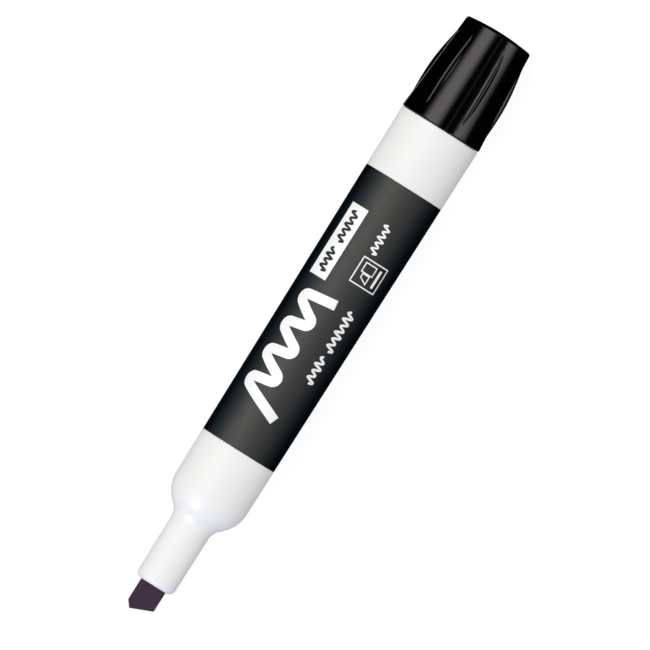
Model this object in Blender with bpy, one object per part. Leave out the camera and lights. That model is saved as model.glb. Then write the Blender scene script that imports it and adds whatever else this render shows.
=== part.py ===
"""A chisel-tipped whiteboard marker without its writing cap, lying on its side.

The marker's axis runs along X with the tail at +X and the nib at -X. +Z is up. The origin is on the
surface that the marker lies on, under the middle of its length. Driving sizes are in millimetres.
"""

import math

import bmesh
import bpy
from mathutils import Vector

MM = 0.001

# Sides of every round section, and of each quarter round in a profile
ROUND_STEPS = 48
CORNER_STEPS = 3

# Whole marker
LENGTH = 136.9
NIB_TIP_X = -LENGTH / 2
TAIL_X = LENGTH / 2

# End cap, outside
CAP_MOUTH_X = 45.8
CAP_MOUTH_RADIUS = 8.98
CAP_MOUTH_EDGE = 0.4
CAP_TAIL_EDGE_X = 67.6
CAP_TAIL_RADIUS = 7.41
CAP_TAIL_BEVEL_LENGTH = 0.34
CAP_TAIL_BEVEL_DEPTH = 0.38
CAP_TAIL_STEPS = 4
CAP_PAD_RADIUS = 1.6

# End cap, the raised leaf-shaped ribs
CAP_RIB_COUNT = 6
CAP_RIB_PHASE = math.radians(53)
CAP_RIB_START_X = 48.4
CAP_RIB_END_X = 65.1
CAP_RIB_WIDTH = 1.7
CAP_RIB_HEIGHT = 0.62
CAP_RIB_SIDES = 10
CAP_RIB_STATIONS = 10

# End cap, inside
CAP_BORE_RADIUS = 6.3
CAP_BORE_END_RADIUS = 6.0
CAP_BORE_CHAMFER = 0.5
CAP_END_WALL = 1.5
SPIGOT_LENGTH = 9.0
SPIGOT_LEAD = 0.4
SPIGOT_CLEARANCE = 0.08

# Barrel, outside
BARREL_REAR_RADIUS = 8.86
BARREL_REAR_EDGE = 0.25
SHOULDER_RADIUS = 8.28
SHOULDER_X = -40.2
DOME_RADIUS = 7.3
DOME_STEPS = 10
FILLET_RADIUS = 3.6
FILLET_STEPS = 6
NECK_RADIUS = 4.38
NOZZLE_RADIUS = 4.3
NOZZLE_FRONT_X = -62.06
NOZZLE_EDGE = 1.3
NOZZLE_EDGE_STEPS = 5

# Barrel, inside
WALL = 1.2
CAVITY_FRONT_X = -44.6
CAVITY_DOME_RADIUS = 3.6
CAVITY_STEPS = 5
BARREL_RIB_COUNT = 6
BARREL_RIB_WIDTH = 1.0
BARREL_RIB_CREST_RADIUS = 6.8
BARREL_RIB_ROOT = 0.4
BARREL_STOP_RADIUS = 4.6
BARREL_STOP_FRONT_X = -42.6
BARREL_RIB_REAR_GAP = 1.5
SLOT_CLEARANCE = 0.08
SLOT_CORE_RADIUS = 2.25

# Label
LABEL_FRONT_X = -30.08
LABEL_REAR_X = 32.06
LABEL_THICKNESS = 0.15
LABEL_GAP = 0.05

# Nib
NIB_WIDTH = 5.7
NIB_THICKNESS = 4.4
NIB_CORNER_RADIUS = 1.3
NIB_EDGE_HIGH_Y = 1.74
NIB_EDGE_LOW = (-66.5, -2.85)
NIB_HEEL_X = -67.0
NIB_EDGE_THICKNESS = 1.3
NIB_BEVEL_LENGTH = 4.6
NIB_STEM_END_X = -28.0

# Ink reservoir and its film wrap
RESERVOIR_RADIUS = 6.2
RESERVOIR_EDGE = 0.3
RESERVOIR_EDGE_STEPS = 2
RESERVOIR_FRONT_X = -39.0
WRAP_THICKNESS = 0.2
WRAP_GAP = 0.05
WRAP_MARGIN = 0.6
NIB_HOLE_DEPTH = 11.4

# The gap kept where two pieces meet face to face
SEAT_GAP = 0.12

# How far a blank or a cutter reaches past the faces it makes
OVERSHOOT = 1.0

AXIS_Z = CAP_MOUTH_RADIUS


def clear_objects():
    for item in list(bpy.data.objects):
        bpy.data.objects.remove(item, do_unlink=True)


def new_material(name, colour, roughness):
    material = bpy.data.materials.new(name)
    material.use_nodes = True
    shader = material.node_tree.nodes["Principled BSDF"]
    shader.inputs["Base Color"].default_value = (*colour, 1.0)
    shader.inputs["Roughness"].default_value = roughness
    shader.inputs["Metallic"].default_value = 0.0
    return material


def add_object(name, bm, material):
    """Makes a smooth-shaded object from bm, whose coordinates are in millimetres about the axis."""
    bmesh.ops.recalc_face_normals(bm, faces=bm.faces)
    bmesh.ops.scale(bm, vec=(MM, MM, MM), verts=bm.verts)
    mesh = bpy.data.meshes.new(name)
    bm.to_mesh(mesh)
    bm.free()
    mesh.shade_smooth()
    mesh.set_sharp_from_angle(angle=math.radians(30))
    item = bpy.data.objects.new(name, mesh)
    item.location = (0.0, 0.0, AXIS_Z * MM)
    if material:
        mesh.materials.append(material)
    bpy.context.collection.objects.link(item)
    return item


def arc(centre_x, centre_r, radius, start, end, steps):
    """Points (x, r) of an arc. Angles are in degrees, 0 towards the tail and 90 away from the axis."""
    angles = [math.radians(start + (end - start) * i / steps) for i in range(steps + 1)]
    return [(centre_x + radius * math.cos(a), centre_r + radius * math.sin(a)) for a in angles]


def lathe(profile, closed):
    """Turns (x, r) points about the axis. A closed profile makes a ring, and an open one ends on the axis."""
    bm = bmesh.new()
    verts = [bm.verts.new((x, r, 0.0)) for x, r in profile]
    pairs = list(zip(verts, verts[1:]))
    if closed:
        pairs.append((verts[-1], verts[0]))
    edges = [bm.edges.new(pair) for pair in pairs]
    bmesh.ops.spin(
        bm,
        geom=verts + edges,
        cent=(0.0, 0.0, 0.0),
        axis=(1.0, 0.0, 0.0),
        angle=math.tau,
        steps=ROUND_STEPS,
        use_duplicate=False,
    )
    bmesh.ops.remove_doubles(bm, verts=bm.verts, dist=0.0005)
    return bm


def cut_with(target, cutter):
    """Subtracts a wire-shown guide object from target."""
    cutter.hide_render = True
    cutter.display_type = "WIRE"
    cut = target.modifiers.new("cut_" + cutter.name, "BOOLEAN")
    cut.operation = "DIFFERENCE"
    cut.object = cutter
    cut.solver = "EXACT"


def join_to(target, extra):
    """Unites target with a wire-shown guide object."""
    extra.hide_render = True
    extra.display_type = "WIRE"
    join = target.modifiers.new("join_" + extra.name, "BOOLEAN")
    join.operation = "UNION"
    join.object = extra
    join.solver = "EXACT"


def rounded_block(start_x, end_x, width, thickness, corner):
    """A bar along X with rounded long edges, width across Y and thickness across Z."""
    bm = bmesh.new()
    verts = []
    corners = [(1, 1, 0), (-1, 1, 90), (-1, -1, 180), (1, -1, 270)]
    for side_y, side_z, first in corners:
        centre_y = side_y * (width / 2 - corner)
        centre_z = side_z * (thickness / 2 - corner)
        for i in range(CORNER_STEPS + 1):
            a = math.radians(first + 90 * i / CORNER_STEPS)
            place = (start_x, centre_y + corner * math.cos(a), centre_z + corner * math.sin(a))
            verts.append(bm.verts.new(place))
    face = bm.faces.new(verts)
    made = bmesh.ops.extrude_face_region(bm, geom=[face])
    moved = [item for item in made["geom"] if isinstance(item, bmesh.types.BMVert)]
    bmesh.ops.translate(bm, vec=(end_x - start_x, 0.0, 0.0), verts=moved)
    return bm


def slice_off(bm, point, outward):
    """Cuts away what lies beyond a plane and closes the cut."""
    geometry = bm.verts[:] + bm.edges[:] + bm.faces[:]
    made = bmesh.ops.bisect_plane(
        bm, geom=geometry, dist=1e-6, plane_co=point, plane_no=outward, clear_outer=True
    )
    rim = [item for item in made["geom_cut"] if isinstance(item, bmesh.types.BMEdge)]
    bmesh.ops.contextual_create(bm, geom=rim)


def barrel_radius(x):
    """Outside radius of the barrel's drafted body."""
    share = (x - SHOULDER_X) / (CAP_MOUTH_X - SHOULDER_X)
    return SHOULDER_RADIUS + (BARREL_REAR_RADIUS - SHOULDER_RADIUS) * share


def barrel_profile():
    """The barrel's outline, from the nozzle's hole round the outside to the open rear and back inside."""
    dome_r = SHOULDER_RADIUS - DOME_RADIUS
    fillet_r = NECK_RADIUS + FILLET_RADIUS
    reach = FILLET_RADIUS + DOME_RADIUS
    fillet_x = SHOULDER_X - math.sqrt(reach**2 - (fillet_r - dome_r) ** 2)
    lean = math.degrees(math.atan2(fillet_r - dome_r, SHOULDER_X - fillet_x))
    rear_x = CAP_MOUTH_X - SEAT_GAP
    inner_depth = LABEL_THICKNESS + LABEL_GAP
    points = [(NOZZLE_FRONT_X, SLOT_CORE_RADIUS)]
    points += arc(
        NOZZLE_FRONT_X + NOZZLE_EDGE, NOZZLE_RADIUS - NOZZLE_EDGE, NOZZLE_EDGE, 180, 90, NOZZLE_EDGE_STEPS
    )
    points += arc(fillet_x, fillet_r, FILLET_RADIUS, 270, 360 - lean, FILLET_STEPS)
    points += arc(SHOULDER_X, dome_r, DOME_RADIUS, 180 - lean, 90, DOME_STEPS)[1:]
    points += [
        (LABEL_FRONT_X - LABEL_GAP, barrel_radius(LABEL_FRONT_X)),
        (LABEL_FRONT_X - LABEL_GAP, barrel_radius(LABEL_FRONT_X) - inner_depth),
        (LABEL_REAR_X + LABEL_GAP, barrel_radius(LABEL_REAR_X) - inner_depth),
        (LABEL_REAR_X + LABEL_GAP, barrel_radius(LABEL_REAR_X)),
    ]
    points += arc(
        rear_x - BARREL_REAR_EDGE,
        barrel_radius(rear_x) - BARREL_REAR_EDGE,
        BARREL_REAR_EDGE,
        90,
        0,
        CORNER_STEPS,
    )
    points.append((rear_x, bore_radius(rear_x)))
    points.append((SHOULDER_X, bore_radius(SHOULDER_X)))
    front_r = bore_radius(SHOULDER_X)
    points += arc(
        CAVITY_FRONT_X + CAVITY_DOME_RADIUS,
        front_r - CAVITY_DOME_RADIUS,
        CAVITY_DOME_RADIUS,
        90,
        180,
        CAVITY_STEPS,
    )[1:]
    points.append((CAVITY_FRONT_X, SLOT_CORE_RADIUS))
    return points


def bore_radius(x):
    """Radius of the barrel's bore, a constant wall inside the drafted body."""
    return barrel_radius(x) - WALL


def spigot_radius():
    """The end cap's spigot is straight, so it fits the bore where its front end reaches."""
    return bore_radius(CAP_MOUTH_X - SPIGOT_LENGTH) - SPIGOT_CLEARANCE


def make_barrel(white):
    barrel = add_object("barrel", lathe(barrel_profile(), closed=True), white)
    slot = rounded_block(
        NOZZLE_FRONT_X - OVERSHOOT,
        CAVITY_FRONT_X + OVERSHOOT,
        NIB_WIDTH + 2 * SLOT_CLEARANCE,
        NIB_THICKNESS + 2 * SLOT_CLEARANCE,
        NIB_CORNER_RADIUS + SLOT_CLEARANCE,
    )
    cut_with(barrel, add_object("nozzle_slot", slot, None))
    join_to(barrel, make_barrel_ribs())
    return barrel


def make_barrel_ribs():
    """Ribs along the bore, rooted a little way into the wall. Their front ends step in to stop the reservoir."""
    bm = bmesh.new()
    stop_x = RESERVOIR_FRONT_X - SEAT_GAP
    rear_x = CAP_MOUTH_X - SPIGOT_LENGTH - BARREL_RIB_REAR_GAP
    outline = [
        (BARREL_STOP_FRONT_X, BARREL_STOP_RADIUS),
        (stop_x, BARREL_STOP_RADIUS),
        (stop_x, BARREL_RIB_CREST_RADIUS),
        (rear_x, BARREL_RIB_CREST_RADIUS),
        (rear_x, bore_radius(rear_x) + BARREL_RIB_ROOT),
        (BARREL_STOP_FRONT_X, bore_radius(BARREL_STOP_FRONT_X) + BARREL_RIB_ROOT),
    ]
    for index in range(BARREL_RIB_COUNT):
        angle = math.tau * (index + 0.5) / BARREL_RIB_COUNT
        out = Vector((0.0, math.cos(angle), math.sin(angle)))
        aside = Vector((0.0, -math.sin(angle), math.cos(angle))) * BARREL_RIB_WIDTH
        places = [Vector((x, 0.0, 0.0)) + out * r - aside / 2 for x, r in outline]
        side = bm.faces.new([bm.verts.new(place) for place in places])
        made = bmesh.ops.extrude_face_region(bm, geom=[side])
        moved = [item for item in made["geom"] if isinstance(item, bmesh.types.BMVert)]
        bmesh.ops.translate(bm, vec=aside, verts=moved)
    return add_object("barrel_ribs", bm, None)


def make_label(film):
    outer_front = barrel_radius(LABEL_FRONT_X)
    outer_rear = barrel_radius(LABEL_REAR_X)
    profile = [
        (LABEL_FRONT_X, outer_front),
        (LABEL_REAR_X, outer_rear),
        (LABEL_REAR_X, outer_rear - LABEL_THICKNESS),
        (LABEL_FRONT_X, outer_front - LABEL_THICKNESS),
    ]
    return add_object("label", lathe(profile, closed=True), film)


def make_nib(felt):
    """A felt bar whose front is cut to a slanted edge, with a heel cut, and bevelled on both faces."""
    blank_x = NIB_TIP_X - OVERSHOOT
    bm = rounded_block(blank_x, NIB_STEM_END_X, NIB_WIDTH, NIB_THICKNESS, NIB_CORNER_RADIUS)
    tip = Vector((NIB_TIP_X, NIB_EDGE_HIGH_Y, 0.0))
    low = Vector((*NIB_EDGE_LOW, 0.0))
    heel = Vector((NIB_HEEL_X, NIB_WIDTH / 2, 0.0))
    up = Vector((0.0, 0.0, 1.0))
    edge = (low - tip).normalized()
    forward = edge.cross(up)
    if forward.x > 0:
        forward.negate()
    slice_off(bm, tip, forward)
    heel_cut = (heel - tip).normalized().cross(up)
    if heel_cut.x > 0:
        heel_cut.negate()
    slice_off(bm, tip, heel_cut)
    lean = math.atan2((NIB_THICKNESS - NIB_EDGE_THICKNESS) / 2, NIB_BEVEL_LENGTH)
    for side in (1, -1):
        outward = forward * math.sin(lean) + up * side * math.cos(lean)
        slice_off(bm, tip + up * side * NIB_EDGE_THICKNESS / 2, outward)
    return add_object("nib", bm, felt)


def reservoir_rear_x():
    return CAP_MOUTH_X - SPIGOT_LENGTH - SEAT_GAP


def make_reservoir(fibre):
    """A fibre rod with softened ends and a blind hole for the nib's stem."""
    rear_x = reservoir_rear_x()
    inner_r = RESERVOIR_RADIUS - RESERVOIR_EDGE
    profile = [(RESERVOIR_FRONT_X, 0.0)]
    front_x = RESERVOIR_FRONT_X + RESERVOIR_EDGE
    profile += arc(front_x, inner_r, RESERVOIR_EDGE, 180, 90, RESERVOIR_EDGE_STEPS)
    profile += arc(rear_x - RESERVOIR_EDGE, inner_r, RESERVOIR_EDGE, 90, 0, RESERVOIR_EDGE_STEPS)
    profile.append((rear_x, 0.0))
    reservoir = add_object("ink_reservoir", lathe(profile, closed=False), fibre)
    hole = rounded_block(
        RESERVOIR_FRONT_X - OVERSHOOT,
        RESERVOIR_FRONT_X + NIB_HOLE_DEPTH,
        NIB_WIDTH + 2 * SLOT_CLEARANCE,
        NIB_THICKNESS + 2 * SLOT_CLEARANCE,
        NIB_CORNER_RADIUS + SLOT_CLEARANCE,
    )
    cut_with(reservoir, add_object("stem_hole", hole, None))
    return reservoir


def make_wrap(film):
    inner = RESERVOIR_RADIUS + WRAP_GAP
    outer = inner + WRAP_THICKNESS
    front_x = RESERVOIR_FRONT_X + WRAP_MARGIN
    rear_x = reservoir_rear_x() - WRAP_MARGIN
    profile = [(front_x, outer), (rear_x, outer), (rear_x, inner), (front_x, inner)]
    return add_object("reservoir_wrap", lathe(profile, closed=True), film)


def cap_profile():
    """The end cap's outline, from the middle of its tail round the outside to the spigot and back inside."""
    rise = TAIL_X - CAP_TAIL_EDGE_X - CAP_TAIL_BEVEL_LENGTH
    rim = CAP_TAIL_RADIUS - CAP_TAIL_BEVEL_DEPTH
    dome_radius = (rim**2 + rise**2) / (2 * rise)
    points = [(TAIL_X, 0.0), (TAIL_X, CAP_PAD_RADIUS)]
    for step in range(1, CAP_TAIL_STEPS + 1):
        r = CAP_PAD_RADIUS + (rim - CAP_PAD_RADIUS) * step / CAP_TAIL_STEPS
        points.append((TAIL_X - dome_radius + math.sqrt(dome_radius**2 - r**2), r))
    points.append((CAP_TAIL_EDGE_X, CAP_TAIL_RADIUS))
    points += arc(
        CAP_MOUTH_X + CAP_MOUTH_EDGE,
        CAP_MOUTH_RADIUS - CAP_MOUTH_EDGE,
        CAP_MOUTH_EDGE,
        90,
        180,
        CORNER_STEPS,
    )
    spigot = spigot_radius()
    front_x = CAP_MOUTH_X - SPIGOT_LENGTH
    inner_end_x = TAIL_X - CAP_END_WALL
    points += [
        (CAP_MOUTH_X, spigot),
        (front_x + SPIGOT_LEAD, spigot),
        (front_x, spigot - SPIGOT_LEAD),
        (front_x, CAP_BORE_RADIUS),
        (inner_end_x - CAP_BORE_CHAMFER, CAP_BORE_END_RADIUS),
        (inner_end_x, CAP_BORE_END_RADIUS - CAP_BORE_CHAMFER),
        (inner_end_x, 0.0),
    ]
    return points


def make_cap_ribs():
    """Leaf-shaped ribs: flattened spindles half sunk in the end cap's conical side."""
    bm = bmesh.new()
    drop = (CAP_MOUTH_RADIUS - CAP_TAIL_RADIUS) / (CAP_TAIL_EDGE_X - CAP_MOUTH_X)
    middle_x = (CAP_RIB_START_X + CAP_RIB_END_X) / 2
    middle_r = CAP_MOUTH_RADIUS - drop * (middle_x - CAP_MOUTH_X)
    half_length = (CAP_RIB_END_X - CAP_RIB_START_X) / 2
    for index in range(CAP_RIB_COUNT):
        angle = CAP_RIB_PHASE + math.tau * index / CAP_RIB_COUNT
        out = Vector((0.0, math.cos(angle), math.sin(angle)))
        aside = Vector((0.0, -math.sin(angle), math.cos(angle)))
        along = Vector((1.0, 0.0, 0.0)) - out * drop
        centre = Vector((middle_x, 0.0, 0.0)) + out * middle_r
        rings = []
        for station in range(1, CAP_RIB_STATIONS):
            u = -1 + 2 * station / CAP_RIB_STATIONS
            fullness = 1 - u * u
            at = centre + along * half_length * u
            ring = []
            for side in range(CAP_RIB_SIDES):
                turn = math.tau * side / CAP_RIB_SIDES
                across = aside * math.cos(turn) * fullness * CAP_RIB_WIDTH / 2
                height = out * math.sin(turn) * fullness * CAP_RIB_HEIGHT
                ring.append(bm.verts.new(at + across + height))
            rings.append(ring)
        tips = [bm.verts.new(centre + along * half_length * end) for end in (-1, 1)]
        for first, second in zip(rings, rings[1:]):
            for i in range(CAP_RIB_SIDES):
                j = (i + 1) % CAP_RIB_SIDES
                bm.faces.new((first[i], first[j], second[j], second[i]))
        for tip, ring in zip(tips, (rings[0], rings[-1])):
            for i in range(CAP_RIB_SIDES):
                bm.faces.new((tip, ring[i], ring[(i + 1) % CAP_RIB_SIDES]))
    return add_object("cap_ribs", bm, None)


def make_end_cap(black):
    cap = add_object("end_cap", lathe(cap_profile(), closed=False), black)
    join_to(cap, make_cap_ribs())
    return cap


def main():
    clear_objects()
    white = new_material("white_plastic", (0.86, 0.87, 0.87), 0.3)
    black = new_material("black_plastic", (0.008, 0.008, 0.009), 0.18)
    film = new_material("label_film", (0.06, 0.06, 0.055), 0.4)
    felt = new_material("ink_felt", (0.045, 0.028, 0.045), 0.9)
    fibre = new_material("ink_fibre", (0.02, 0.018, 0.022), 0.95)
    wrap = new_material("clear_film", (0.7, 0.72, 0.74), 0.25)
    make_barrel(white)
    make_label(film)
    make_nib(felt)
    make_reservoir(fibre)
    make_wrap(wrap)
    make_end_cap(black)


main()
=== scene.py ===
"""The looks of the whiteboard marker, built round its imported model.

Lengths are in millimetres along the marker: x along its axis towards the tail, r away from the axis.
An angle round the axis is 0 at the top and grows towards -Y. Lights are placed in metres.
"""

import math

import bmesh
import bpy
from mathutils import Matrix, Vector


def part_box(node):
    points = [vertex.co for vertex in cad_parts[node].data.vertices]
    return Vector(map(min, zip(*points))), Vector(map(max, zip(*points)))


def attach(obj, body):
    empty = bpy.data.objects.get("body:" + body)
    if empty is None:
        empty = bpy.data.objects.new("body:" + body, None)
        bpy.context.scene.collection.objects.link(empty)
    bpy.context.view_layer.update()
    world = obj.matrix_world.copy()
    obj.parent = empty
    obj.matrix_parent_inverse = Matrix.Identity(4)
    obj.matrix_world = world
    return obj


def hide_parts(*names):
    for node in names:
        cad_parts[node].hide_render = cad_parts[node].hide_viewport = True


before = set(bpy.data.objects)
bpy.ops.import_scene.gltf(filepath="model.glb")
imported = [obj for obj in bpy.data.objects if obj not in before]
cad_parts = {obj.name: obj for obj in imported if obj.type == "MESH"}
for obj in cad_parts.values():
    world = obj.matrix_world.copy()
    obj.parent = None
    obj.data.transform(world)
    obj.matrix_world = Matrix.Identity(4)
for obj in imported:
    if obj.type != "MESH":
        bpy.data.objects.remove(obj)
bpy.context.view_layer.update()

MM = 0.001
ROUND_STEPS = 192
TINY = 1e-9


def span(node, axis):
    """A CAD node's lowest and highest coordinate along one axis, in millimetres."""
    low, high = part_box(node)
    return low[axis] / MM, high[axis] / MM


def radius_of(node):
    low, high = span(node, 1)
    return (high - low) / 2


# Places and sizes that the frame gives
AXIS_Z = sum(span("end_cap", 2)) / 2
NIB_TIP_X, NIB_END_X = span("nib", 0)
NIB_WIDTH = 2 * radius_of("nib")
NIB_THICKNESS = span("nib", 2)[1] - span("nib", 2)[0]
NOZZLE_X, BARREL_REAR_X = span("barrel", 0)
BARREL_REAR_RADIUS = radius_of("barrel")
LABEL_FRONT_X, LABEL_REAR_X = span("label", 0)
SPIGOT_FRONT_X, TAIL_X = span("end_cap", 0)
MOUTH_RADIUS = radius_of("end_cap")
RESERVOIR_FRONT_X, RESERVOIR_REAR_X = span("ink_reservoir", 0)
RESERVOIR_RADIUS = radius_of("ink_reservoir")
WRAP_FRONT_X, WRAP_REAR_X = span("reservoir_wrap", 0)
WRAP_RADIUS = radius_of("reservoir_wrap")

# Barrel, outside
SHOULDER_X = -40.2
SHOULDER_RADIUS = 8.28
DOME_RADIUS = 7.3
FILLET_RADIUS = 3.6
NECK_RADIUS = 4.38
NOZZLE_RADIUS = 4.3
NOZZLE_EDGE = 1.3
REAR_EDGE = 0.25
RECESS_DEPTH = 0.2
RECESS_GAP = 0.05
RECESS_LIP = 0.04

# Barrel, inside
WALL = 1.2
REAR_CHAMFER = 0.2
CAVITY_FRONT_X = -44.6
CAVITY_DOME_RADIUS = 3.6
INNER_RIB_COUNT = 6
INNER_RIB_HALF_ANGLE = math.radians(3.8)
INNER_RIB_CREST = 6.8
INNER_RIB_REAR_X = SPIGOT_FRONT_X - 1.5
INNER_STOP_RADIUS = 4.6
INNER_STOP_FRONT_X = -42.6
INNER_STOP_REAR_X = RESERVOIR_FRONT_X - 0.3
INNER_STEP = 0.01  # length over which the inner ribs rise from the bore

# Nib and its slot in the nozzle
NIB_CORNER = 1.3
NIB_EDGE_HIGH_Y = 1.74
NIB_EDGE_LOW = (-66.5, -2.85)
NIB_HEEL_X = -67.0
NIB_EDGE_THICKNESS = 1.3
NIB_BEVEL_LENGTH = 4.6
NIB_SOFTENING = 0.06
NIB_SOFTENED_ANGLE = math.radians(25)
NIB_SHARP_ANGLE = 50
NIB_FLAT_ANGLE = math.radians(2)
NIB_JOIN_DISTANCE = 0.002
NIB_ROUND_STEPS = 96
NIB_SPARE = 1.0  # length of the uncut bar ahead of the tip
SLOT_CLEARANCE = 0.08
SLOT_LIP = ((0.12, 0.0), (0.03, 0.03), (0.0, 0.1))  # (depth, growth) of each ring of its rounded lip
SLOT_RIM_DEPTH = 0.012
SLOT_RIM_GROWTH = 0.16
NOZZLE_FLAT_MARGIN = 0.1

# End cap
MOUTH_X = SPIGOT_FRONT_X + 9.0
MOUTH_EDGE = 0.4
SPIGOT_CLEARANCE = 0.08
SPIGOT_CHAMFER = 0.4
BORE_RADIUS = 6.3
BORE_END_RADIUS = 6.0
BORE_END_CHAMFER = 0.5
BORE_HUB_RADIUS = 0.3
END_WALL = 1.5
TAIL_EDGE_X = 67.6
TAIL_RADIUS = 7.41
TAIL_BEVEL_LENGTH = 0.34
TAIL_BEVEL_DEPTH = 0.38
TAIL_SIDE_ENDS = (0.1, 0.03)  # how far the side's last two rings are from the edge
TAIL_EDGE_SOFTENING = ((0.04, -0.02), (0.12, -0.1))  # (along, out) of each ring from the bevel's outer edge
TAIL_RIM_SOFTENING = ((-0.1, 0.14), (-0.02, 0.05), (0.01, -0.04))  # and from its inner edge
TAIL_DOME_STEPS = 11
PAD_RADIUS = 1.6
PAD_EDGE = 0.06
GATE_RADIUS = 0.42
GATE_SLOPE = 0.08
GATE_HEIGHT = 0.03
GATE_HUB_RADIUS = 0.1

# Leaf-shaped ribs of the end cap, and the columns of its mesh that follow them
RIB_COUNT = 6
RIB_PITCH = math.tau / RIB_COUNT
RIB_PHASE = math.radians(-37)
RIB_START_X = 48.4
RIB_END_X = 65.1
RIB_WIDTH = 1.7
RIB_HEIGHT = 0.62
RIB_PLAN = 0.85  # power that shapes the leaf seen from above
RIB_SWELL = 1.4  # power that shapes its height along it
RIB_TIP = 0.015  # half the width that is left at its tips
RIB_FOOT = 0.03  # width of the narrow column beside it, which keeps its soft shading off the flat side
RIB_LEAST_RADIUS = BORE_RADIUS + 1  # rings nearer to the axis than this are in the bore and have no ribs
RIB_ROWS = 64
RIB_COLUMNS = 20
GAP_COLUMNS = 14
COLUMN_SPREAD = 0.5  # how fast the columns spread past a rib's tips
COLUMN_MOST_SHARE = 0.35  # the most of the pitch that half a rib's columns take, near the axis
COLUMN_LEAST_RADIUS = 0.5

# Label
LABEL_THICKNESS = 0.15
LABEL_EDGE = 0.03
SEAM_ANGLE = math.radians(232)
SEAM_WIDTH = math.radians(22)
SEAM_STEP = 0.07

# Printing on the label. Places are (along, round) from the middle of the label's top.
PRINT_HEIGHT = 0.015
PRINT_DEPTH = 0.04
PRINT_STRIP = 0.3
PRINT_JOIN_DISTANCE = 1e-5
PRINT_CUT_TOLERANCE = 1e-6
CORNER_STEPS = 6
WAVE_STEPS = 14
BOLD_STROKE = 2.1
BOLD_TURN = 1.15
BOLD_LEAN = 1.1
BOLD_FADE = 0.3
WORD_STROKE = 0.5
WORD_SIZE = 2.1
WORD_ROW = 4.9
PANEL_LOW, PANEL_HIGH = (6.8, -8.1), (23.2, -3.45)
PANEL_ROW = -5.7
PANEL_WORD_SIZE = 2.0
SMALL_WORD_STROKE = 0.42
SMALL_WORD_SIZE = 1.6
SMALL_WORD_ROW = 1.7
SIGN_LOW, SIGN_HIGH = (9.5, 0.75), (15.1, 6.9)
SIGN_FRAME_STROKE = 0.26
SIGN_STROKE = 0.24
SIGN_BAR_LOW, SIGN_BAR_HIGH = (10.3, 5.3), (14.3, 5.9)
SIGN_BAR_CORNER = 0.15

# Fibre reservoir and its film
RESERVOIR_EDGE = 0.3
RESERVOIR_FACE_SHARES = (0.8, 0.6, 0.4, 0.2)
RESERVOIR_MOUTH_SHARE = 0.55
STEM_HOLE_DEPTH = 10.0
STEM_HOLE_CLEARANCE = 0.1
WRAP_THICKNESS = 0.2

# View
AXIS_TILT = math.radians(57.87)
VIEW_WIDTH = 130.0
VIEW_CENTRE = (0.29, -1.35)
LENS = 800.0
SENSOR = 36.0
CLIP_RANGE = (0.1, 20.0)  # in metres

# Studio, in metres
FLOOR_HALF_SIZE = 6.0
FLOOR_GLOW = 0.92
SURROUND_STRENGTH = 0.67

# The part of a noise's range that most of its values fall in
NOISE_LOW, NOISE_HIGH = 0.3, 0.7


# ---------------------------------------------------------------- shapes


def arc(centre_x, centre_r, radius, start, end, steps):
    """Points (x, r) of an arc. Angles are in degrees, 0 towards the tail and 90 away from the axis."""
    angles = [math.radians(start + (end - start) * i / steps) for i in range(steps + 1)]
    return [(centre_x + radius * math.cos(a), centre_r + radius * math.sin(a)) for a in angles]


def between(first, last, steps):
    """Points evenly spaced on the line from first to last, both left out."""
    places = []
    for i in range(1, steps):
        share = i / steps
        places.append(tuple(a + (b - a) * share for a, b in zip(first, last)))
    return places


def shifted(point, shifts):
    """Points at each (along, out) shift from a point."""
    return [(point[0] + along, point[1] + out) for along, out in shifts]


def place(x, r, angle):
    """The point in the frame, in metres, at x and r and at an angle round the axis."""
    return Vector((x, -r * math.sin(angle), AXIS_Z + r * math.cos(angle))) * MM


def even_angles(count=ROUND_STEPS):
    return [math.tau * i / count for i in range(count)]


def round_ring(x, r, change=None):
    """A ring of points. change(r, angle) can make it less than round."""
    return [place(x, change(r, a) if change else r, a) for a in even_angles()]


def loft(rings, closed):
    """Joins rings of points, one after another. A closed loft comes back to its first ring, and an open one
    is filled to a middle point at each end."""
    bm = bmesh.new()
    made = [[bm.verts.new(point) for point in ring] for ring in rings]
    count = len(made[0])
    pairs = list(zip(made, made[1:]))
    if closed:
        pairs.append((made[-1], made[0]))
    for first, second in pairs:
        for i in range(count):
            j = (i + 1) % count
            bm.faces.new((first[i], first[j], second[j], second[i]))
    if not closed:
        for ring in (made[0], made[-1]):
            middle = sum((v.co for v in ring), Vector()) / count
            hub = bm.verts.new(middle)
            for i in range(count):
                bm.faces.new((hub, ring[i], ring[(i + 1) % count]))
    return bm


def new_object(name, bm, material, node, body, sharp=35):
    """Makes the piece, shades it smooth up to the angle sharp, in degrees, and ties it to the frame."""
    bmesh.ops.recalc_face_normals(bm, faces=bm.faces)
    if bm.calc_volume(signed=True) < 0:
        bmesh.ops.reverse_faces(bm, faces=bm.faces)
    mesh = bpy.data.meshes.new(name)
    bm.to_mesh(mesh)
    bm.free()
    mesh.shade_smooth()
    mesh.set_sharp_from_angle(angle=math.radians(sharp))
    mesh.materials.append(material)
    piece = bpy.data.objects.new(name, mesh)
    bpy.context.scene.collection.objects.link(piece)
    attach(piece, body)
    if node:
        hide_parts(node)
    return piece


# ---------------------------------------------------------------- barrel


def barrel_radius(x):
    """Outside radius of the barrel's drafted body."""
    share = (x - SHOULDER_X) / (BARREL_REAR_X - SHOULDER_X)
    return SHOULDER_RADIUS + (BARREL_REAR_RADIUS - SHOULDER_RADIUS) * share


def bore_radius(x):
    return barrel_radius(x) - WALL


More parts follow.
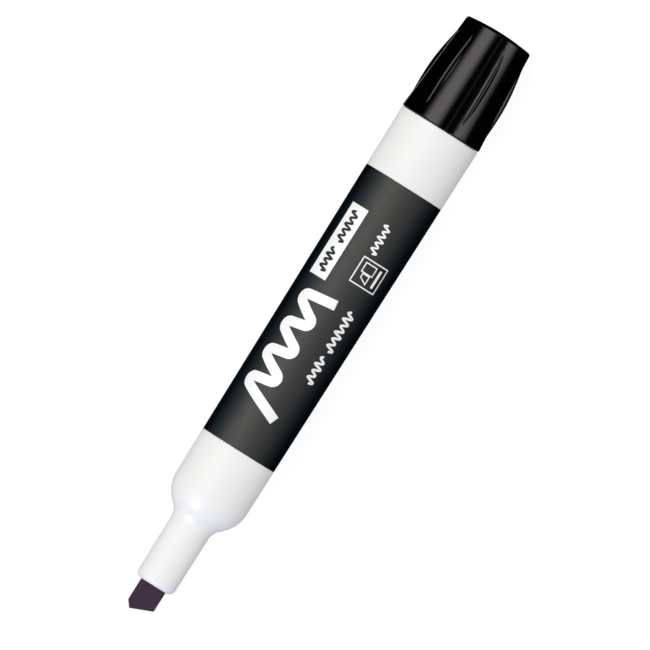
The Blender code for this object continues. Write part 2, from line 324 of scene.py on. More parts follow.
def slot_radius(angle, extra):
    """Distance from the axis to the edge of the nib's rounded oblong section, grown by extra."""
    half_y = NIB_WIDTH / 2 + extra
    half_z = NIB_THICKNESS / 2 + extra
    corner = NIB_CORNER + extra
    y, z = abs(math.sin(angle)), abs(math.cos(angle))
    centre_y, centre_z = half_y - corner, half_z - corner
    if y > TINY and z * half_y / y <= centre_z:
        return half_y / y
    if z > TINY and y * half_z / z <= centre_y:
        return half_z / z
    along = centre_y * y + centre_z * z
    return along + math.sqrt(along**2 - centre_y**2 - centre_z**2 + corner**2)


def slot_ring(x, extra, count=ROUND_STEPS):
    return [place(x, slot_radius(a, extra), a) for a in even_angles(count)]


def near_inner_rib(angle):
    pitch = math.tau / INNER_RIB_COUNT
    return abs((angle % pitch) - pitch / 2) < INNER_RIB_HALF_ANGLE


def ribbed(crest):
    """Lets the inner ribs stand in from the bore to a crest radius."""
    return lambda r, angle: crest if near_inner_rib(angle) else r


def barrel_outside():
    """The barrel's outline from the nozzle's edge to the rear edge."""
    dome_r = SHOULDER_RADIUS - DOME_RADIUS
    fillet_r = NECK_RADIUS + FILLET_RADIUS
    reach = FILLET_RADIUS + DOME_RADIUS
    fillet_x = SHOULDER_X - math.sqrt(reach**2 - (fillet_r - dome_r) ** 2)
    lean = math.degrees(math.atan2(fillet_r - dome_r, SHOULDER_X - fillet_x))
    points = arc(NOZZLE_X + NOZZLE_EDGE, NOZZLE_RADIUS - NOZZLE_EDGE, NOZZLE_EDGE, 165, 90, 10)
    neck_end = (fillet_x, NECK_RADIUS)
    points += between(points[-1], neck_end, 8)
    points += arc(fillet_x, fillet_r, FILLET_RADIUS, 270, 360 - lean, 18)
    points += arc(SHOULDER_X, dome_r, DOME_RADIUS, 180 - lean, 90, 28)[1:]
    front_x = LABEL_FRONT_X - RECESS_GAP
    rear_x = LABEL_REAR_X + RECESS_GAP
    front = (front_x, barrel_radius(front_x))
    rear = (rear_x, barrel_radius(rear_x))
    recess_front = shifted(front, [(-RECESS_LIP, 0), (0, -RECESS_LIP), (0, -RECESS_DEPTH)])
    recess_rear = shifted(rear, [(0, -RECESS_DEPTH), (0, -RECESS_LIP), (RECESS_LIP, 0)])
    points += between(points[-1], recess_front[0], 8) + recess_front
    points += between(recess_front[-1], recess_rear[0], 6) + recess_rear
    edge = arc(BARREL_REAR_X - REAR_EDGE, barrel_radius(BARREL_REAR_X) - REAR_EDGE, REAR_EDGE, 90, 0, 8)
    points += between(points[-1], edge[0], 8)
    return points + edge


def nozzle_lip():
    """Rings over the edge of the nib's slot, from inside it to the nozzle's flat front."""
    rings = [slot_ring(NOZZLE_X + depth, SLOT_CLEARANCE + wider) for depth, wider in SLOT_LIP]
    flat_radius = NOZZLE_RADIUS - NOZZLE_EDGE + NOZZLE_FLAT_MARGIN
    rim = []
    for angle in even_angles():
        r = max(flat_radius, slot_radius(angle, SLOT_CLEARANCE + SLOT_RIM_GROWTH))
        rim.append(place(NOZZLE_X + SLOT_RIM_DEPTH, r, angle))
    return rings + [rim]


def barrel_inside():
    """Rings from the rear edge through the bore to the nib's slot."""
    rear_bore = bore_radius(BARREL_REAR_X)
    rings = [
        round_ring(BARREL_REAR_X, rear_bore + REAR_CHAMFER),
        round_ring(BARREL_REAR_X - REAR_CHAMFER, rear_bore),
        round_ring(INNER_RIB_REAR_X, bore_radius(INNER_RIB_REAR_X)),
    ]
    for (x,) in between((INNER_RIB_REAR_X - INNER_STEP,), (INNER_STOP_REAR_X + INNER_STEP,), 10):
        rings.append(round_ring(x, bore_radius(x), ribbed(INNER_RIB_CREST)))
    for x in (INNER_STOP_REAR_X, SHOULDER_X):
        rings.append(round_ring(x, bore_radius(x), ribbed(INNER_STOP_RADIUS)))
    dome_x = CAVITY_FRONT_X + CAVITY_DOME_RADIUS
    dome_r = bore_radius(SHOULDER_X) - CAVITY_DOME_RADIUS
    for x, r in arc(dome_x, dome_r, CAVITY_DOME_RADIUS, 90, 180, 8)[1:]:
        rings.append(round_ring(x, r, ribbed(INNER_STOP_RADIUS) if x > INNER_STOP_FRONT_X else None))
    for x in (CAVITY_FRONT_X, (CAVITY_FRONT_X + NOZZLE_X) / 2):
        rings.append(slot_ring(x, SLOT_CLEARANCE))
    return rings


def make_barrel(material):
    """The moulding as one closed loft: over the slot's lip, along the outside and back through the bore."""
    outside = [round_ring(x, r) for x, r in barrel_outside()]
    body = loft(nozzle_lip() + outside + barrel_inside(), True)
    new_object("barrel_moulding", body, material, "barrel", "barrel")


# ---------------------------------------------------------------- label


def label_lift(angle):
    """How far the film stands up where its end laps over its start."""
    back = (SEAM_ANGLE - angle) % math.tau
    if back > SEAM_WIDTH:
        return 0.0
    share = 1 - back / SEAM_WIDTH
    return SEAM_STEP * share * share * (3 - 2 * share)


def make_label(material):
    """The printed film, one turn round the recess with a lapped seam at the back."""
    front, rear = LABEL_FRONT_X, LABEL_REAR_X
    front_r, rear_r = barrel_radius(front), barrel_radius(rear)
    outer = [(front, front_r - LABEL_EDGE), (front + LABEL_EDGE, front_r)]
    rear_top = (rear - LABEL_EDGE, rear_r)
    outer += between(outer[-1], rear_top, 24)
    outer += [rear_top, (rear, rear_r - LABEL_EDGE)]
    inner = [(rear, rear_r - LABEL_THICKNESS), (front, front_r - LABEL_THICKNESS)]
    rings = [round_ring(x, r, lambda r, a: r + label_lift(a)) for x, r in outer]
    rings += [round_ring(x, r) for x, r in inner]
    new_object("label_film_sleeve", loft(rings, True), material, "label", "barrel")


# ---------------------------------------------------------------- end cap


def along_rib(x):
    """Place along a rib, from -1 to 1 between its tips."""
    return (2 * x - RIB_START_X - RIB_END_X) / (RIB_END_X - RIB_START_X)


def rib_shape(x, across):
    """Height of the end cap's leaf-shaped rib at x, where across runs from -1 to 1 over its width."""
    fullness = max(0.0, 1 - along_rib(x) ** 2)
    return RIB_HEIGHT * fullness**RIB_SWELL * (1 - across * across)


def rib_half_angle(x, r):
    """Half the angle that a rib takes up at x. Past its tips the columns of the mesh spread again."""
    along = abs(along_rib(x))
    half_width = RIB_WIDTH / 2
    if along < 1:
        return (half_width * (1 - along * along) ** RIB_PLAN + RIB_TIP) / r
    past = (along - 1) * (RIB_END_X - RIB_START_X) / 2
    return (min(half_width, past * COLUMN_SPREAD) + RIB_TIP) / r


def cap_ring(x, r):
    """A ring of the end cap whose points follow the ribs' edges."""
    half = min(rib_half_angle(x, r), RIB_PITCH * COLUMN_MOST_SHARE)
    foot = half + RIB_FOOT / max(r, COLUMN_LEAST_RADIUS)
    outside = r > RIB_LEAST_RADIUS
    points = []
    for rib in range(RIB_COUNT):
        centre = RIB_PHASE + rib * RIB_PITCH
        for i in range(RIB_COLUMNS):
            across = 2 * i / RIB_COLUMNS - 1
            height = rib_shape(x, across) if outside else 0.0
            points.append(place(x, r + height, centre + across * half))
        points.append(place(x, r, centre + half))
        for i in range(GAP_COLUMNS):
            share = i / (GAP_COLUMNS - 1)
            points.append(place(x, r, centre + foot + share * (RIB_PITCH - 2 * foot)))
    return points


def cap_side(x):
    """The point at x on the end cap's tapered side."""
    slope = (TAIL_RADIUS - MOUTH_RADIUS) / (TAIL_EDGE_X - MOUTH_X)
    return (x, MOUTH_RADIUS + slope * (x - MOUTH_X))


def cap_bore():
    """The end cap's inside, from the middle of its end wall to the spigot's mouth."""
    wall_x = TAIL_X - END_WALL
    points = [(wall_x, BORE_HUB_RADIUS), (wall_x, BORE_END_RADIUS - BORE_END_CHAMFER)]
    points.append((wall_x - BORE_END_CHAMFER, BORE_END_RADIUS))
    return points + between(points[-1], (SPIGOT_FRONT_X, BORE_RADIUS), 6)


def cap_tail():
    """The end cap's slightly domed tail, from its edge to the gate mark in the middle of its flat pad."""
    rim = (TAIL_EDGE_X + TAIL_BEVEL_LENGTH, TAIL_RADIUS - TAIL_BEVEL_DEPTH)
    points = shifted((TAIL_EDGE_X, TAIL_RADIUS), TAIL_EDGE_SOFTENING) + shifted(rim, TAIL_RIM_SOFTENING)
    rise = TAIL_X - rim[0]
    dome_radius = (rim[1] ** 2 + rise**2) / (2 * rise)
    for i in range(1, TAIL_DOME_STEPS + 1):
        r = rim[1] + (PAD_RADIUS - rim[1]) * i / TAIL_DOME_STEPS
        points.append((TAIL_X - dome_radius + math.sqrt(dome_radius**2 - r**2), r))
    pad_x = TAIL_X - GATE_HEIGHT
    points += [(pad_x, PAD_RADIUS - PAD_EDGE), (pad_x, GATE_RADIUS + GATE_SLOPE)]
    return points + [(TAIL_X, GATE_RADIUS), (TAIL_X, GATE_HUB_RADIUS)]


def cap_outside():
    """The end cap's outline, from the spigot inside the barrel over the outside to the middle of the tail."""
    spigot_r = bore_radius(SPIGOT_FRONT_X) - SPIGOT_CLEARANCE
    points = [(SPIGOT_FRONT_X, BORE_RADIUS), (SPIGOT_FRONT_X, spigot_r - SPIGOT_CHAMFER)]
    points += [(SPIGOT_FRONT_X + SPIGOT_CHAMFER, spigot_r), (MOUTH_X, spigot_r)]
    points += arc(MOUTH_X + MOUTH_EDGE, MOUTH_RADIUS - MOUTH_EDGE, MOUTH_EDGE, 180, 90, 10)
    points += between(points[-1], cap_side(RIB_START_X), 4)
    for i in range(RIB_ROWS + 1):
        share = (1 - math.cos(math.pi * i / RIB_ROWS)) / 2
        points.append(cap_side(RIB_START_X + (RIB_END_X - RIB_START_X) * share))
    side_end = [cap_side(TAIL_EDGE_X - back) for back in TAIL_SIDE_ENDS]
    return points + between(points[-1], side_end[0], 6) + side_end + cap_tail()


def make_end_cap(material):
    shell = loft([cap_ring(x, r) for x, r in cap_bore() + cap_outside()], False)
    new_object("end_cap_moulding", shell, material, "end_cap", "end_cap")


# ---------------------------------------------------------------- nib, reservoir and film


def slice_off(bm, point, outward):
    """Cuts away what lies beyond a plane and closes the cut."""
    geometry = bm.verts[:] + bm.edges[:] + bm.faces[:]
    made = bmesh.ops.bisect_plane(
        bm, geom=geometry, dist=TINY, plane_co=point, plane_no=outward, clear_outer=True
    )
    rim = [item for item in made["geom_cut"] if isinstance(item, bmesh.types.BMEdge)]
    bmesh.ops.contextual_create(bm, geom=rim)


def make_nib(material):
    """A felt bar cut to a slanted edge with a heel, bevelled on both faces, its cut edges a little worn."""
    bar = [slot_ring(x, 0, NIB_ROUND_STEPS) for x in (NIB_TIP_X - NIB_SPARE, NIB_END_X)]
    bm = loft(bar, False)
    tip = Vector((NIB_TIP_X, NIB_EDGE_HIGH_Y, AXIS_Z)) * MM
    low = Vector((*NIB_EDGE_LOW, AXIS_Z)) * MM
    heel = Vector((NIB_HEEL_X, NIB_WIDTH / 2, AXIS_Z)) * MM
    up = Vector((0, 0, 1))
    forward = (low - tip).normalized().cross(up)
    heel_cut = (heel - tip).normalized().cross(up)
    for outward in (forward, heel_cut):
        if outward.x > 0:
            outward.negate()
        slice_off(bm, tip, outward)
    lean = math.atan2((NIB_THICKNESS - NIB_EDGE_THICKNESS) / 2, NIB_BEVEL_LENGTH)
    for side in (1, -1):
        outward = forward * math.sin(lean) + up * side * math.cos(lean)
        slice_off(bm, tip + up * side * NIB_EDGE_THICKNESS / 2 * MM, outward)
    bmesh.ops.dissolve_limit(bm, angle_limit=NIB_FLAT_ANGLE, verts=bm.verts[:], edges=bm.edges[:])
    piece = new_object("felt_nib", bm, material, "nib", "barrel", NIB_SHARP_ANGLE)
    soften = piece.modifiers.new("worn_edges", "BEVEL")
    soften.width = NIB_SOFTENING * MM
    soften.segments = 3
    soften.limit_method = "ANGLE"
    soften.angle_limit = NIB_SOFTENED_ANGLE
    join = piece.modifiers.new("joined_corners", "WELD")
    join.merge_threshold = NIB_JOIN_DISTANCE * MM


def make_reservoir(material):
    """The fibre rod, with a blind hole in its front for the nib's stem."""
    front, rear, r, edge = RESERVOIR_FRONT_X, RESERVOIR_REAR_X, RESERVOIR_RADIUS, RESERVOIR_EDGE
    outline = [(front, r * RESERVOIR_MOUTH_SHARE), (front, r - edge)]
    outline += arc(front + edge, r - edge, edge, 180, 90, 4)[1:]
    outline += between(outline[-1], (rear - edge, r), 8)
    outline += arc(rear - edge, r - edge, edge, 90, 0, 4)
    outline += [(rear, r * share) for share in RESERVOIR_FACE_SHARES]
    hole = [slot_ring(x, STEM_HOLE_CLEARANCE) for x in (front + STEM_HOLE_DEPTH, front)]
    rod = loft(hole + [round_ring(x, radius) for x, radius in outline], False)
    new_object("fibre_reservoir", rod, material, "ink_reservoir", "barrel")


def make_wrap(material):
    outline = [(WRAP_FRONT_X, WRAP_RADIUS), (WRAP_REAR_X, WRAP_RADIUS)]
    outline += [(x, WRAP_RADIUS - WRAP_THICKNESS) for x in (WRAP_REAR_X, WRAP_FRONT_X)]
    sleeve = loft([round_ring(x, r) for x, r in outline], True)
    new_object("reservoir_film", sleeve, material, "reservoir_wrap", "barrel")


# ---------------------------------------------------------------- printing on the label


def oblong(low, high, corner=0.0):
    """A rectangle between two (along, round) points, its corners rounded if they have a radius."""
    steps = CORNER_STEPS if corner else 0
    centres = [
        (high[0] - corner, high[1] - corner, 0),
        (low[0] + corner, high[1] - corner, 90),
        (low[0] + corner, low[1] + corner, 180),
        (high[0] - corner, low[1] + corner, 270),
    ]
    points = []
    for centre_u, centre_w, first in centres:
        for i in range(steps + 1):
            a = math.radians(first + 90 * i / max(steps, 1))
            points.append((centre_u + corner * math.cos(a), centre_w + corner * math.sin(a)))
    return points


def ribbon(path, width, closed=False):
    """Quads of a stroke of the given width along a path, mitred at its turns."""
    count = len(path)
    left, right = [], []
    for i, (u, w) in enumerate(path):
        before = path[i - 1] if closed or i else path[0]
        after = path[(i + 1) % count] if closed or i + 1 < count else path[-1]
        steps = [Vector((u - before[0], w - before[1])), Vector((after[0] - u, after[1] - w))]
        ways = [step.normalized() for step in steps if step.length > TINY]
        along = sum(ways, Vector((0, 0))).normalized()
        half = width / 2 / max(0.5, along.dot(ways[0]))
        left.append((u - along.y * half, w + along.x * half))
        right.append((u + along.y * half, w - along.x * half))
    pairs = [(i, i + 1) for i in range(count - 1)] + ([(count - 1, 0)] if closed else [])
    return [[left[i], right[i], right[j], left[j]] for i, j in pairs]


def make_print(name, outlines, material, layer=0):
    """Printed shapes as one thin raised layer that follows the label, cut into strips so that it can bend."""
    bm = bmesh.new()
    lift = PRINT_HEIGHT * (1 + layer)
    for outline in outlines:
        bm.faces.new([bm.verts.new((u, w, lift)) for u, w in outline])
    bmesh.ops.remove_doubles(bm, verts=bm.verts, dist=PRINT_JOIN_DISTANCE)
    bmesh.ops.recalc_face_normals(bm, faces=bm.faces)
    low = min(v.co.y for v in bm.verts)
    high = max(v.co.y for v in bm.verts)
    cut = math.ceil(low / PRINT_STRIP) * PRINT_STRIP
    while cut < high:
        geometry = bm.verts[:] + bm.edges[:] + bm.faces[:]
        bmesh.ops.bisect_plane(
            bm, geom=geometry, dist=PRINT_CUT_TOLERANCE, plane_co=(0, cut, 0), plane_no=(0, 1, 0)
        )
        cut += PRINT_STRIP
    made = bmesh.ops.extrude_face_region(bm, geom=bm.faces[:])
    moved = [item for item in made["geom"] if isinstance(item, bmesh.types.BMVert)]
    bmesh.ops.translate(bm, vec=(0, 0, -lift - PRINT_DEPTH), verts=moved)
    middle = (LABEL_FRONT_X + LABEL_REAR_X) / 2
    for v in bm.verts:
        x = middle + v.co.x
        r = barrel_radius(x)
        v.co = place(x, r + v.co.z, v.co.y / r)
    new_object(name, bm, material, None, "barrel")


def rounded_path(corners, radius, steps=8):
    """A path through corner points, each inner corner rounded."""
    path = [corners[0]]
    for before, corner, after in zip(corners, corners[1:], corners[2:]):
        here = Vector(corner)
        back = (Vector(before) - here).normalized()
        ahead = (Vector(after) - here).normalized()
        half = back.angle(ahead) / 2
        centre = here + (back + ahead).normalized() * radius / math.sin(half)
        first = here + back * radius / math.tan(half) - centre
        last = here + ahead * radius / math.tan(half) - centre
        for i in range(steps + 1):
            path.append(tuple(centre + first.slerp(last, i / steps)))
    path.append(corners[-1])
    return path


def zigzag(start, step, count, top, bottom):
    """Corners of a quick scribble that leans forward and dies away to one side."""
    middle = (top + bottom) / 2
    corners = []
    for i in range(count):
        reach = (bottom - top) / 2 * (1 - BOLD_FADE * i / count)
        side = -1 if i % 2 else 1
        corners.append((start + step * i - side * BOLD_LEAN, middle + side * reach))
    return corners


def squiggle(start, end, middle, size, waves):
    """A small quick wave, the stand-in for a word. A second, slower wave makes its height uneven."""
    steps = WAVE_STEPS * waves
    path = []
    for i in range(steps + 1):
        turn = math.tau * waves * i / steps
        height = size / 2 * (0.78 + 0.22 * math.sin(0.43 * turn + 1))
        path.append((start + (end - start) * i / steps, middle + height * math.sin(turn)))
    return path


def nib_sign():
    """A framed drawing of a chisel nib that draws a line."""
    low, high = SIGN_LOW, SIGN_HIGH
    holder = [(12.3, 1.8), (14.3, 1.8), (14.3, 4.4), (12.3, 4.4)]
    nib = [(12.05, 2.3), (11.2, 2.3), (10.3, 3.9), (12.05, 3.9)]
    sign = ribbon([low, (high[0], low[1]), high, (low[0], high[1])], SIGN_FRAME_STROKE, closed=True)
    for outline in (holder, nib):
        sign += ribbon(outline, SIGN_STROKE, closed=True)
    return sign + [oblong(SIGN_BAR_LOW, SIGN_BAR_HIGH, SIGN_BAR_CORNER)]


def make_label_graphics(white, dark):
    """A bold scribble, a panel and plain signs."""
    bold = rounded_path(zigzag(start=-21.2, step=3.25, count=9, top=-10.4, bottom=3.0), BOLD_TURN)
    make_print("label_scribble", ribbon(bold, BOLD_STROKE), white)
    make_print("label_panel", [oblong(PANEL_LOW, PANEL_HIGH)], white)
    panel_words = ribbon(squiggle(8.2, 13.4, PANEL_ROW, PANEL_WORD_SIZE, 4), WORD_STROKE)
    panel_words += ribbon(squiggle(14.9, 21.8, PANEL_ROW, PANEL_WORD_SIZE, 5), WORD_STROKE)
    make_print("label_panel_words", panel_words, dark, layer=1)
    words = ribbon(squiggle(-12.3, -6.3, WORD_ROW, WORD_SIZE, 4), WORD_STROKE)
    words += ribbon(squiggle(-4.9, 4.2, WORD_ROW, WORD_SIZE, 6), WORD_STROKE)
    make_print("label_words", words, white)
    make_print("label_nib_sign", nib_sign(), white)
    small_word = squiggle(16.3, 22.7, SMALL_WORD_ROW, SMALL_WORD_SIZE, 5)
    make_print("label_word", ribbon(small_word, SMALL_WORD_STROKE), white)


# ---------------------------------------------------------------- materials


def new_material(name, colour, roughness):
    """A material with its shader. Where nodes vary its colour or roughness, the values here are averages, so
    that a viewer that reads no nodes still shows it about right."""
    material = bpy.data.materials.new(name)
    material.use_nodes = True
    shader = material.node_tree.nodes["Principled BSDF"]
    shader.inputs["Base Color"].default_value = (*colour, 1)
    shader.inputs["Roughness"].default_value = roughness
    return material, material.node_tree, shader


def coordinates(tree, stretch=(1, 1, 1)):
    """Object coordinates in millimetres, stretched."""
    source = tree.nodes.new("ShaderNodeTexCoord")
    mapping = tree.nodes.new("ShaderNodeMapping")
    mapping.inputs["Scale"].default_value = [value / MM for value in stretch]
    tree.links.new(source.outputs["Object"], mapping.inputs["Vector"])
    return mapping.outputs["Vector"]


def noise(tree, vector, scale, detail=3.0, rough=0.5):
    node = tree.nodes.new("ShaderNodeTexNoise")
    node.inputs["Scale"].default_value = scale
    node.inputs["Detail"].default_value = detail
    node.inputs["Roughness"].default_value = rough
    tree.links.new(vector, node.inputs["Vector"])
    return node.outputs["Fac"]


def spread(tree, value, low, high, from_low=0.0, from_high=1.0):
    """Maps a value's range, which is 0 to 1 if not given, to low and high."""
    node = tree.nodes.new("ShaderNodeMapRange")
    node.inputs["From Min"].default_value = from_low
    node.inputs["From Max"].default_value = from_high
    node.inputs["To Min"].default_value = low
    node.inputs["To Max"].default_value = high
    tree.links.new(value, node.inputs["Value"])
    return node.outputs["Result"]


def spread_noise(tree, value, low, high):
    return spread(tree, value, low, high, NOISE_LOW, NOISE_HIGH)


def tint(tree, value, first, second):
    """A colour between two, as the value goes from 0 to 1."""
    node = tree.nodes.new("ShaderNodeMix")
    node.data_type = "RGBA"
    node.inputs["A"].default_value = (*first, 1)
    node.inputs["B"].default_value = (*second, 1)
    tree.links.new(value, node.inputs["Factor"])
    return node.outputs["Result"]


def relief(tree, shader, height, depth, strength=1.0):
    """Bumps the surface. depth is the height of the relief in millimetres."""
    node = tree.nodes.new("ShaderNodeBump")
    node.inputs["Strength"].default_value = strength
    node.inputs["Distance"].default_value = depth * MM
    tree.links.new(height, node.inputs["Height"])
    tree.links.new(node.outputs["Normal"], shader.inputs["Normal"])


def white_plastic():
    """Moulded polypropylene: faintly cloudy, lightly scuffed along its length, a little light inside it."""
    material, tree, shader = new_material("white_plastic", (0.8, 0.8, 0.783), 0.5)
    vector = coordinates(tree)
    cloud = noise(tree, vector, 0.08, detail=2.0)
    colour = tint(tree, cloud, (0.785, 0.785, 0.768), (0.815, 0.815, 0.798))
    tree.links.new(colour, shader.inputs["Base Color"])
    scuffs = noise(tree, coordinates(tree, (0.25, 1, 1)), 2.2, detail=6.0, rough=0.65)
    tree.links.new(spread_noise(tree, scuffs, 0.45, 0.56), shader.inputs["Roughness"])
    relief(tree, shader, noise(tree, vector, 0.9, detail=2.0), 0.004)
    shader.inputs["Specular IOR Level"].default_value = 0.12
    shader.inputs["Coat Weight"].default_value = 0.1
    shader.inputs["Coat Roughness"].default_value = 0.05
    shader.inputs["Subsurface Weight"].default_value = 0.12
    shader.inputs["Subsurface Radius"].default_value = (0.0012, 0.0011, 0.001)
    shader.inputs["Subsurface Scale"].default_value = 1.0
    return material


def black_plastic():
    """Polished moulding with a faint haze."""
    material, tree, shader = new_material("black_plastic", (0.0008, 0.0007, 0.0009), 0.12)
    vector = coordinates(tree)
    haze = noise(tree, vector, 0.5, detail=5.0, rough=0.6)
    colour = tint(tree, haze, (0.0004, 0.0004, 0.0005), (0.0012, 0.001, 0.0014))
    tree.links.new(colour, shader.inputs["Base Color"])
    tree.links.new(spread_noise(tree, haze, 0.1, 0.15), shader.inputs["Roughness"])
    shader.inputs["Specular Tint"].default_value = (1.0, 0.93, 0.99, 1.0)
    relief(tree, shader, noise(tree, vector, 1.2, detail=2.0), 0.003)
    return material


def label_film():
    """Satin ink on film: warm and bright where it faces the eye, cooler and then dark towards its edges."""
    material, tree, shader = new_material("label_film", (0.0014, 0.0041, 0.0066), 0.68)
    vector = coordinates(tree)
    grain = noise(tree, vector, 14.0, detail=2.0)
    colour = tint(tree, grain, (0.001, 0.0034, 0.0058), (0.0018, 0.0048, 0.0074))
    tree.links.new(colour, shader.inputs["Base Color"])
    rub = noise(tree, coordinates(tree, (0.3, 1, 1)), 1.1, detail=4.0, rough=0.6)
    tree.links.new(spread_noise(tree, rub, 0.65, 0.71), shader.inputs["Roughness"])
    layer = tree.nodes.new("ShaderNodeLayerWeight")
    layer.inputs["Blend"].default_value = 0.5
    facing = layer.outputs["Facing"]
    level = spread(tree, facing, 1.4, 0.0, from_high=0.58)
    tree.links.new(level, shader.inputs["Specular IOR Level"])
    sheen = tint(tree, spread(tree, facing, 0.0, 1.0, 0.1, 0.5), (1.0, 1.0, 0.9), (0.62, 0.85, 1.0))
    tree.links.new(sheen, shader.inputs["Specular Tint"])
    relief(tree, shader, grain, 0.0015)
    return material


def print_white():
    """Opaque white ink, slightly mottled."""
    material, tree, shader = new_material("print_white", (0.87, 0.87, 0.863), 0.46)
    mottle = noise(tree, coordinates(tree), 6.0)
    colour = tint(tree, mottle, (0.85, 0.85, 0.845), (0.89, 0.89, 0.88))
    tree.links.new(colour, shader.inputs["Base Color"])
    tree.links.new(spread(tree, mottle, 0.42, 0.5), shader.inputs["Roughness"])
    return material


def felt():
    """Fibres that run along the nib, matted at the surface."""
    material, tree, shader = new_material("ink_felt", (0.043, 0.024, 0.045), 0.92)
    fibres = noise(tree, coordinates(tree, (0.22, 1, 1)), 5.0, detail=5.0, rough=0.65)
    clumps = noise(tree, coordinates(tree), 1.2)
    colour = tint(tree, spread_noise(tree, fibres, 0, 1), (0.034, 0.018, 0.036), (0.052, 0.029, 0.054))
    tree.links.new(colour, shader.inputs["Base Color"])
    tree.links.new(spread(tree, clumps, 0.86, 0.98), shader.inputs["Roughness"])
    shader.inputs["Specular IOR Level"].default_value = 0.2
    relief(tree, shader, fibres, 0.05, strength=0.7)
    return material


def fibre():
    """Bonded fibre soaked with ink."""
    material, tree, shader = new_material("ink_fibre", (0.039, 0.026, 0.042), 0.95)
    fibres = noise(tree, coordinates(tree, (0.15, 1, 1)), 4.0, detail=5.0, rough=0.6)
    colour = tint(tree, spread_noise(tree, fibres, 0, 1), (0.018, 0.012, 0.02), (0.06, 0.04, 0.064))
    tree.links.new(colour, shader.inputs["Base Color"])
    relief(tree, shader, fibres, 0.08, strength=0.8)
    return material


def wrap_film():
    """Thin film, wrinkled along its length."""
    material, tree, shader = new_material("wrap_film", (0.5, 0.5, 0.52), 0.22)
    wrinkle = noise(tree, coordinates(tree, (0.3, 1, 1)), 0.8)
    colour = tint(tree, wrinkle, (0.42, 0.41, 0.44), (0.58, 0.58, 0.6))
    tree.links.new(colour, shader.inputs["Base Color"])
    relief(tree, shader, wrinkle, 0.05, strength=0.6)
    return material


# ---------------------------------------------------------------- floor, light and camera


def make_floor():
    bm = bmesh.new()
    bmesh.ops.create_grid(bm, x_segments=8, y_segments=8, size=FLOOR_HALF_SIZE)
    mesh = bpy.data.meshes.new("floor")
    bm.to_mesh(mesh)
    bm.free()
    material, _, shader = new_material("pale_floor", (0.12, 0.12, 0.12), 0.9)
    shader.inputs["Specular IOR Level"].default_value = 0.0
    shader.inputs["Emission Color"].default_value = (1, 1, 1, 1)
    shader.inputs["Emission Strength"].default_value = FLOOR_GLOW
    mesh.materials.append(material)
    floor = bpy.data.objects.new("floor", mesh)
    bpy.context.scene.collection.objects.link(floor)
    floor.visible_glossy = False
    floor.visible_diffuse = False


def make_world():
    """An even white surround that lights the matt side of things and leaves the gloss to the soft boxes."""
    world = bpy.data.worlds.new("studio")
    bpy.context.scene.world = world
    world.use_nodes = True
    background = world.node_tree.nodes["Background"]
    background.inputs["Color"].default_value = (1.0, 1.0, 1.0, 1.0)
    background.inputs["Strength"].default_value = SURROUND_STRENGTH
    world.cycles_visibility.glossy = False


def round_direction(degrees):
    """The direction at an angle round the marker's axis, 0 at the top and growing towards -Y."""
    angle = math.radians(degrees)
    return Vector((0, -math.sin(angle), math.cos(angle)))


def add_lamp(light, direction, distance):
    """Adds a lamp in a direction from the marker's middle, facing it. Its length runs along the marker's
    axis, or as nearly as the direction allows."""
    lamp = bpy.data.objects.new(light.name, light)
    bpy.context.scene.collection.objects.link(lamp)
    direction = direction.normalized()
    lamp.location = Vector((0, 0, AXIS_Z * MM)) + direction * distance
    across = direction.cross(Vector((1, 0, 0))).normalized()
    along = across.cross(direction).normalized()
    lamp.rotation_euler = Matrix((along, across, direction)).transposed().to_euler()
    lamp.visible_camera = False
    return lamp


def soft_box(name, direction, half_angle, power, fades, distance=0.6, length=1.4):
    """A long soft box that only gloss sees. half_angle, in degrees, is half of the angle that its width takes
    up. Its long edges fade over two shares of its width, and power is per square metre."""
    light = bpy.data.lights.new(name, "AREA")
    light.shape = "RECTANGLE"
    light.size = length
    light.size_y = 2 * distance * math.tan(math.radians(half_angle))
    light.energy = power * light.size * light.size_y
    light.use_nodes = True
    tree = light.node_tree
    geometry = tree.nodes.new("ShaderNodeNewGeometry")
    parts = tree.nodes.new("ShaderNodeSeparateXYZ")
    tree.links.new(geometry.outputs["Parametric"], parts.inputs["Vector"])
    across = parts.outputs["Y"]
    both = tree.nodes.new("ShaderNodeMath")
    both.operation = "MULTIPLY"
    up = spread(tree, across, 0.0, 1.0, 0.0, fades[0])
    down = spread(tree, across, 1.0, 0.0, 1.0 - fades[1], 1.0)
    for edge, factor in zip((up, down), both.inputs):
        edge.node.interpolation_type = "SMOOTHSTEP"
        tree.links.new(edge, factor)
    tree.links.new(both.outputs["Value"], tree.nodes["Emission"].inputs["Strength"])
    lamp = add_lamp(light, direction, distance)
    lamp.visible_diffuse = False
    return lamp


def round_lamp(name, direction, distance, size, power, colour=(1, 1, 1)):
    light = bpy.data.lights.new(name, "AREA")
    light.shape = "DISK"
    light.size = size
    light.energy = power
    light.color = colour
    return add_lamp(light, direction, distance)


def light_only(lamp, *pieces):
    """Lets a lamp light only the named pieces."""
    lit = bpy.data.collections.new("lit_by_" + lamp.name)
    for piece in pieces:
        lit.objects.link(bpy.data.objects[piece])
    lamp.light_linking.receiver_collection = lit


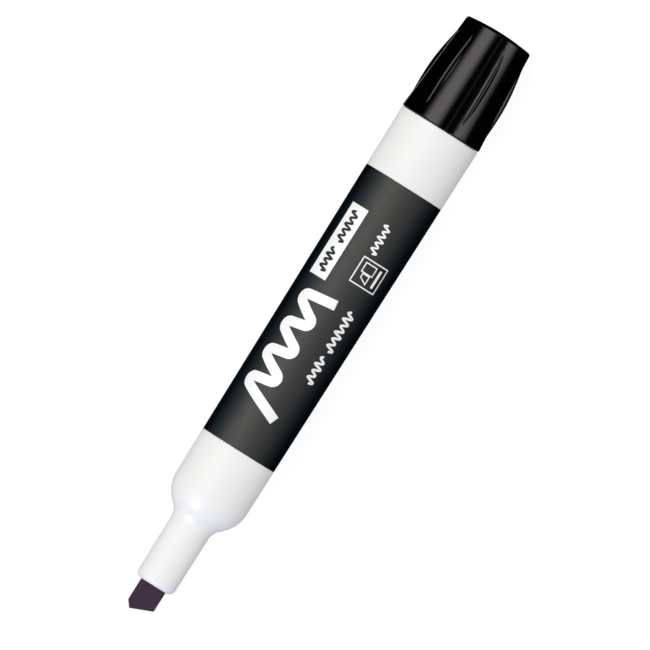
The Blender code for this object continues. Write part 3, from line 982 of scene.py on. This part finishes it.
def make_lights():
    """Soft boxes for the gloss, a key light for the matt side and two small lights in front of the nib."""
    left, right, top = round_direction(-31), round_direction(57), round_direction(14)
    soft_box("soft_box_left", left, half_angle=30, power=8.5, fades=(0.4, 0.4))
    barrel_box = soft_box("barrel_box", right, half_angle=24, power=2.7, fades=(0.6, 0.2), distance=0.65)
    light_only(barrel_box, "barrel_moulding", "label_film_sleeve")
    cap_box = soft_box("cap_box", right, half_angle=24, power=7.0, fades=(0.6, 0.2))
    light_only(cap_box, "end_cap_moulding")
    soft_box("hair_line", top, half_angle=2.2, power=1.3, fades=(0.4, 0.4))
    low, behind = round_direction(-124), Vector((0.96, 0.16, 0.26))
    soft_box("low_line", low, half_angle=2.2, power=4.0, fades=(0.4, 0.4), distance=0.0143, length=0.13)
    tail_box = soft_box("tail_box", behind, half_angle=12, power=2.2, fades=(0.8, 0.8), length=0.5)
    light_only(tail_box, "end_cap_moulding")
    key = round_lamp("key", round_direction(-20), distance=1.6, size=0.9, power=12.2)
    key.visible_glossy = False
    spot = round_lamp("front_spot", Vector((-0.87, 0.25, 0.42)), distance=0.6, size=0.22, power=7.0)
    spot.visible_diffuse = False
    light_only(spot, "barrel_moulding")
    front = Vector((-1.0, -0.14, 0.05))
    cool = round_lamp("cool_front", front, distance=1.0, size=0.5, power=3.8, colour=(0.42, 0.48, 1.0))
    cool.visible_glossy = False


def make_camera():
    """A long lens straight above, turned so that the marker leans across the picture."""
    camera = bpy.data.cameras.new("camera")
    camera.lens = LENS
    camera.sensor_width = SENSOR
    camera.clip_start, camera.clip_end = CLIP_RANGE
    item = bpy.data.objects.new("camera", camera)
    bpy.context.scene.collection.objects.link(item)
    distance = VIEW_WIDTH * LENS / SENSOR
    right = Vector((math.cos(AXIS_TILT), -math.sin(AXIS_TILT), 0))
    up = Vector((math.sin(AXIS_TILT), math.cos(AXIS_TILT), 0))
    turn = Matrix((right, up, Vector((0, 0, 1)))).transposed()
    item.rotation_euler = turn.to_euler()
    item.location = Vector((*VIEW_CENTRE, AXIS_Z + distance)) * MM
    bpy.context.scene.camera = item


def main():
    make_camera()
    make_world()
    make_floor()
    white = white_plastic()
    film = label_film()
    make_barrel(white)
    make_label(film)
    make_label_graphics(print_white(), film)
    make_nib(felt())
    make_reservoir(fibre())
    make_wrap(wrap_film())
    make_end_cap(black_plastic())
    make_lights()
    bpy.context.scene.view_settings.view_transform = "Standard"


main()
